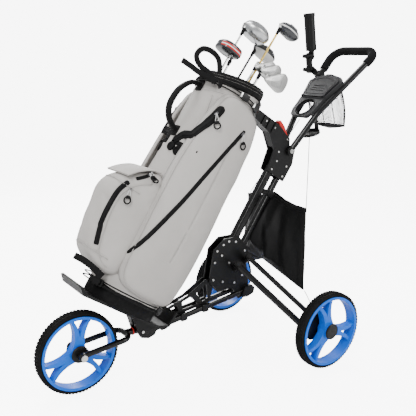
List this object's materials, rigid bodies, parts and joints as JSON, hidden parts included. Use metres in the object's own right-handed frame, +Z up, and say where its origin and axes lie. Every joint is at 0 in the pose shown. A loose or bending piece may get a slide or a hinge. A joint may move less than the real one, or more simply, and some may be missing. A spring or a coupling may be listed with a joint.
{
  "type": "golf push cart with bag",
  "caption": "Three-wheel folding golf push cart carrying a cart bag with clubs, with a console, umbrella holder and folding rear legs.",
  "frame": {"origin": "bottom centre of the whole object, on the ground", "axes": "+Z up, +Y from the front wheel towards the handle, +X to the right of someone pushing"},
  "size_m": [0.706, 1.4162, 1.3076],
  "materials": {
    "frame_black": "black powder coat",
    "bracket_black": "satin moulded black",
    "wheel_blue": "gloss moulded blue",
    "tyre_black": "ribbed foam rubber",
    "bright_steel": "zinc plated",
    "red_plastic": "gloss red",
    "bag_fabric": "warm grey coated woven polyester",
    "black_fabric": "black woven polyester",
    "foam_black": "closed cell foam",
    "console_plastic": "charcoal textured plastic",
    "net_grey": "grey mesh",
    "club_metal": "satin nickel plated steel",
    "putter_black": "black finished steel"
  },
  "bodies": {
    "frame": {"mast": "frame_black", "rear_tube": "frame_black", "central_bracket": "bracket_black", "rear_casting": "bracket_black", "rivets": "bright_steel", "upper_bracket": "bracket_black", "hinge_pins": "bright_steel", "upper_cradle": "bracket_black", "lower_cradle": "bracket_black", "cradle_struts": "bracket_black", "lower_rail": "frame_black", "clamps": "bracket_black", "front_bracket": "bracket_black", "storage_pouch": "black_fabric", "pouch_cords": "black_fabric", "bag_body": "bag_fabric", "ball_pocket": "bag_fabric", "side_pockets": "bag_fabric", "collar": "bracket_black", "carry_handle": "black_fabric", "upper_bungee": "black_fabric", "lower_bungee": "black_fabric", "strap_buckles": "bracket_black"},
    "front_fork": {"fork": "frame_black", "front_axle": "bright_steel"},
    "front_wheel": {"front_rim": "wheel_blue", "front_tyre": "tyre_black", "front_hub_caps": "bracket_black"},
    "upper_leg_right": {"upper_leg_right": "frame_black"},
    "lower_leg_right": {"lower_leg_right": "frame_black"},
    "carrier_right": {"wheel_carrier_right": "bracket_black"},
    "upper_leg_left": {"upper_leg_left": "frame_black"},
    "lower_leg_left": {"lower_leg_left": "frame_black"},
    "carrier_left": {"wheel_carrier_left": "bracket_black"},
    "wheel_right": {"rim_right": "wheel_blue", "tyre_right": "tyre_black", "hub_cap_right": "bracket_black"},
    "wheel_left": {"rim_left": "wheel_blue", "tyre_left": "tyre_black", "hub_cap_left": "bracket_black"},
    "brake": {"brake_pedal": "red_plastic"},
    "handle": {"handle_tube": "frame_black", "foam_grip": "foam_black", "console": "console_plastic", "cup_dish": "console_plastic", "net_pocket": "net_grey", "umbrella_clamp": "bracket_black"},
    "lid": {"console_lid": "console_plastic"},
    "latch": {"latch_lever": "red_plastic"},
    "umbrella_link": {"umbrella_link": "bracket_black"},
    "umbrella_tube": {"umbrella_tube": "bracket_black"},
    "lower_knob": {"lower_knob": "bracket_black"},
    "upper_knob": {"upper_knob": "bracket_black"},
    "driver_club": {"driver": "club_metal"},
    "fairway_wood_club": {"fairway_wood": "club_metal"},
    "hybrid_club": {"hybrid": "club_metal"},
    "long_iron_club": {"long_iron": "club_metal"},
    "short_iron_club": {"short_iron": "club_metal"},
    "wedge_club": {"wedge": "club_metal"},
    "putter_club": {"putter": "putter_black"}
  },
  "joints": [
    {"name": "leg_fold", "type": "hinge", "parent": "frame", "child": "upper_leg_right", "pos_m": [0.058, 0.116, 0.382], "axis": [0.7817, -0.2606, 0.5666], "range_deg": [0, 50], "deforming": ["storage_pouch", "pouch_cords"]},
    {"name": "lower_leg_right_turn", "type": "hinge", "parent": "frame", "child": "lower_leg_right", "pos_m": [0.058, 0.066, 0.359], "axis": [0.7817, -0.2606, 0.5666], "range_deg": [0, 50]},
    {"name": "carrier_right_level", "type": "hinge", "parent": "upper_leg_right", "child": "carrier_right", "pos_m": [0.265, 0.276, 0.17], "axis": [0.7817, -0.2606, 0.5666], "range_deg": [-50, 0]},
    {"name": "upper_leg_left_turn", "type": "hinge", "parent": "frame", "child": "upper_leg_left", "pos_m": [-0.058, 0.116, 0.382], "axis": [0.7817, 0.2606, -0.5666], "range_deg": [0, 50]},
    {"name": "lower_leg_left_turn", "type": "hinge", "parent": "frame", "child": "lower_leg_left", "pos_m": [-0.058, 0.066, 0.359], "axis": [0.7817, 0.2606, -0.5666], "range_deg": [0, 50]},
    {"name": "carrier_left_level", "type": "hinge", "parent": "upper_leg_left", "child": "carrier_left", "pos_m": [-0.265, 0.276, 0.17], "axis": [0.7817, 0.2606, -0.5666], "range_deg": [-50, 0]},
    {"name": "wheel_right_spin", "type": "hinge", "parent": "carrier_right", "child": "wheel_right", "pos_m": [0.3245, 0.286, 0.14625], "axis": [1, 0, 0], "continuous": true},
    {"name": "wheel_left_spin", "type": "hinge", "parent": "carrier_left", "child": "wheel_left", "pos_m": [-0.3245, 0.286, 0.14625], "axis": [1, 0, 0], "continuous": true},
    {"name": "front_fold", "type": "hinge", "parent": "frame", "child": "front_fork", "pos_m": [0, -0.326, 0.172], "axis": [1, 0, 0], "range_deg": [0, 95]},
    {"name": "front_wheel_spin", "type": "hinge", "parent": "front_fork", "child": "front_wheel", "pos_m": [0, -0.562, 0.14625], "axis": [1, 0, 0], "continuous": true},
    {"name": "brake_press", "type": "hinge", "parent": "carrier_right", "child": "brake", "pos_m": [0.277, 0.296, 0.194], "axis": [-1, 0, 0], "range_deg": [0, 16]},
    {"name": "handle_fold", "type": "hinge", "parent": "frame", "child": "handle", "pos_m": [0, 0.331, 0.771], "axis": [-1, 0, 0], "range_deg": [0, 75], "deforming": ["pouch_cords"]},
    {"name": "latch_press", "type": "hinge", "parent": "frame", "child": "latch", "pos_m": [0, 0.31823, 0.81619], "axis": [-1, 0, 0], "range_deg": [0, 22], "stiffness_Nm_per_rad": 0.2},
    {"name": "lid_open", "type": "hinge", "parent": "handle", "child": "lid", "pos_m": [0, 0.46346, 0.98067], "axis": [1, 0, 0], "range_deg": [0, 95]},
    {"name": "umbrella_swing", "type": "hinge", "parent": "handle", "child": "umbrella_link", "pos_m": [-0.134, 0.5707, 1.078], "axis": [0, 1, 0], "range_deg": [-55, 10]},
    {"name": "umbrella_tilt", "type": "hinge", "parent": "umbrella_link", "child": "umbrella_tube", "pos_m": [-0.14, 0.5707, 1.132], "axis": [0, 1, 0], "range_deg": [-55, 25]},
    {"name": "lower_knob_turn", "type": "hinge", "parent": "umbrella_link", "child": "lower_knob", "pos_m": [-0.134, 0.5707, 1.078], "axis": [0, 1, 0], "range_deg": [0, 180]},
    {"name": "upper_knob_turn", "type": "hinge", "parent": "umbrella_tube", "child": "upper_knob", "pos_m": [-0.14, 0.5707, 1.132], "axis": [0, 1, 0], "range_deg": [0, 180]},
    {"name": "driver_lift", "type": "slide", "parent": "frame", "child": "driver_club", "axis": [0.0037, 0.5626, 0.8267], "range_m": [0, 0.92]},
    {"name": "fairway_wood_lift", "type": "slide", "parent": "frame", "child": "fairway_wood_club", "axis": [0, 0.5861, 0.8103], "range_m": [0, 0.92]},
    {"name": "hybrid_lift", "type": "slide", "parent": "frame", "child": "hybrid_club", "axis": [-0.0062, 0.5861, 0.8102], "range_m": [0, 0.92]},
    {"name": "long_iron_lift", "type": "slide", "parent": "frame", "child": "long_iron_club", "axis": [0.0019, 0.5871, 0.8095], "range_m": [0, 0.92]},
    {"name": "short_iron_lift", "type": "slide", "parent": "frame", "child": "short_iron_club", "axis": [0, 0.5971, 0.8022], "range_m": [0, 0.92]},
    {"name": "wedge_lift", "type": "slide", "parent": "frame", "child": "wedge_club", "axis": [0.005, 0.5511, 0.8344], "range_m": [0, 0.92]},
    {"name": "putter_lift", "type": "slide", "parent": "frame", "child": "putter_club", "axis": [0.0025, 0.5344, 0.8453], "range_m": [0, 0.92]}
  ],
  "couplings": [
    {"joint": "lower_leg_right_turn", "follows": "leg_fold", "ratio": 1},
    {"joint": "carrier_right_level", "follows": "leg_fold", "ratio": -1},
    {"joint": "upper_leg_left_turn", "follows": "leg_fold", "ratio": 1},
    {"joint": "lower_leg_left_turn", "follows": "leg_fold", "ratio": 1},
    {"joint": "carrier_left_level", "follows": "leg_fold", "ratio": -1}
  ]
}
